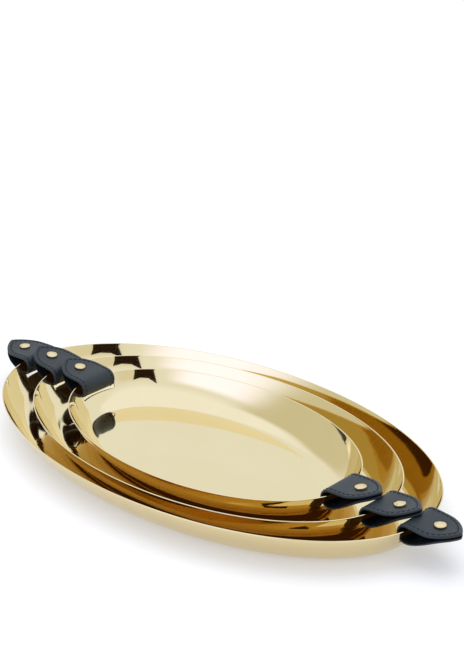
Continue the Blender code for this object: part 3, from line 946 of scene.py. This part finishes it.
def tent_light(tree):
    """Colour of the tent by direction: sides, two dim panels, a bright front, a top."""
    way = Wire(tree, tree.nodes.new("ShaderNodeTexCoord").outputs["Generated"])
    up = way.node("ShaderNodeSeparateXYZ", out=2, i0=way)
    flat = way.node("ShaderNodeVectorMath", {"operation": "MULTIPLY"}, i0=way,
                    i1=(1.0, 1.0, 0.0))
    level = way.node("ShaderNodeVectorMath", {"operation": "NORMALIZE"}, i0=flat)

    def panel(compass, edge, middle):
        """0 beyond edge degrees from a compass angle, 1 within middle degrees of it."""
        facing = (math.cos(math.radians(compass)), math.sin(math.radians(compass)), 0.0)
        dot = way.node("ShaderNodeVectorMath", {"operation": "DOT_PRODUCT"}, out=1,
                       i0=level, i1=facing)
        return dot.between(math.cos(math.radians(edge)), math.cos(math.radians(middle)))
    low = 1.0 - up.between(0.52, 0.65)
    cloth = panel(-157.0, edge=42.0, middle=20.0).tint(SIDE_CLOTH, LEFT_PANEL)
    cloth = (panel(-30.0, edge=32.0, middle=8.0) * low).tint(cloth, RIGHT_PANEL)
    cloth = (panel(-97.0, edge=35.0, middle=0.0) ** 1.5 * low).tint(cloth, FRONT_PANEL)
    return up.between(0.63, 0.78).tint(cloth, TOP_CLOTH)


sky = world.node_tree.nodes["Background"]
world.node_tree.links.new(tent_light(world.node_tree).socket, sky.inputs["Color"])
sky.inputs["Strength"].default_value = 1.0
print("nodes in the tent:", len(world.node_tree.nodes))

# %% [markdown]
# ## The shadow
# A tent alone leaves hardly any shadow, and the tray would seem to float. One soft sun from
# above gives the shadow its shape. It is left out of reflections, because a tent shows no
# sun.

# %% Overhead light
SUN_WAY = Vector((0.32, -0.16, -1.0))
SUN_POWER, SUN_SPREAD = 1.1, math.radians(60.0)

sun_data = bpy.data.lights.new("overhead", "SUN")
sun_data.energy, sun_data.angle = SUN_POWER, SUN_SPREAD
sun = bpy.data.objects.new("overhead", sun_data)
sun.rotation_euler = SUN_WAY.to_track_quat("-Z", "Y").to_euler()
sun.visible_glossy = False
bpy.context.scene.collection.objects.link(sun)
print(f"sun {math.degrees(SUN_WAY.angle(Vector((0.0, 0.0, -1.0)))):.1f} degrees from straight down")

# %% [markdown]
# ## The camera
# The camera's place was worked out by a fit to the three rims, which are level ellipses
# round one middle. How flat they look gives its height, and how much smaller the far end
# looks gives its distance.

# %% Camera
CAMERA_AT = Vector((0.794, -0.8298, 0.6235))
CAMERA_TURN = (math.radians(66.30), 0.0, math.radians(42.87))
SENSOR, LENS = 36.0, 90.2        # millimetres

camera_data = bpy.data.cameras.new("photo_camera")
camera_data.sensor_width, camera_data.lens = SENSOR, LENS
camera = bpy.data.objects.new("photo_camera", camera_data)
camera.location, camera.rotation_euler = CAMERA_AT, CAMERA_TURN
bpy.context.scene.collection.objects.link(camera)
bpy.context.scene.camera = camera
bpy.context.scene.view_settings.view_transform = "Standard"
print(f"camera {CAMERA_AT.length:.2f} m from the middle of the nest")

# %% [markdown]
# ## The opening for the lens
# A tent has an opening that the lens looks through, with its cloth drawn up at the sides.
# The walls at the back of the trays mirror it as dark marks. A black card of that shape
# stands just behind the camera, and only reflections show it.

# %% Dark opening round the lens
# Corners, in metres right and up from its middle, for someone who looks along the lens.
OPENING = ((0.26, -0.35), (-0.26, -0.35), (-0.22, -0.15), (-0.29, 0.35),
           (-0.10, 0.13), (0.09, 0.11), (0.29, 0.20), (0.255, -0.06))
OPENING_SHIFT = Vector((-0.05, 0.09, 0.06))   # from the lens: right, up and back
BLACK_CLOTH = (0.01, 0.008, 0.006, 1.0)


def black_card(name, corners, at, turn):
    """Flat black card with the given corners for the brass to mirror."""
    mesh = bpy.data.meshes.new(name)
    mesh.from_pydata([(x, y, 0.0) for x, y in corners], [], [range(len(corners))])
    made = bpy.data.objects.new(name, mesh)
    made.location, made.rotation_euler = at, turn
    bpy.context.scene.collection.objects.link(made)
    finish, _, _ = material(name, Base_Color=BLACK_CLOTH, Roughness=1.0,
                            Specular_IOR_Level=0.0)
    mesh.materials.append(finish)
    made.visible_shadow = made.visible_diffuse = made.visible_camera = False
    return made


behind = camera.rotation_euler.to_matrix() @ OPENING_SHIFT
opening = black_card("lens_opening", OPENING, CAMERA_AT + behind, camera.rotation_euler)
print("corners of the opening:", len(opening.data.vertices))

# %% [markdown]
